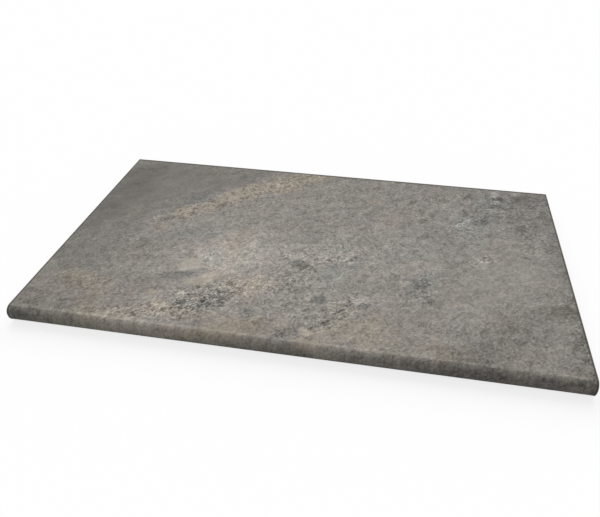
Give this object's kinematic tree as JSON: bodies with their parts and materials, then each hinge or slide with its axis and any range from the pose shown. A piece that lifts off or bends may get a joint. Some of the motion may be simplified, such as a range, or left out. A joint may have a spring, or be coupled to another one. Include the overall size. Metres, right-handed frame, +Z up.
{
  "type": "bullnose coping slab",
  "caption": "Flat porcelain coping slab with a stone-look face, one long edge rounded to a bullnose, square sawn ends and back, and a shallow keying grid pressed into its underside.",
  "frame": {"origin": "middle of the slab in plan, on the plane of its underside", "axes": "+X along the rounded front edge, -Y out of the rounded front, +Z up out of the face that is walked on"},
  "size_m": [0.6, 0.33, 0.02],
  "materials": {
    "stone_look_porcelain": "matte"
  },
  "bodies": {
    "root": {"coping_slab": "stone_look_porcelain"}
  },
  "joints": []
}
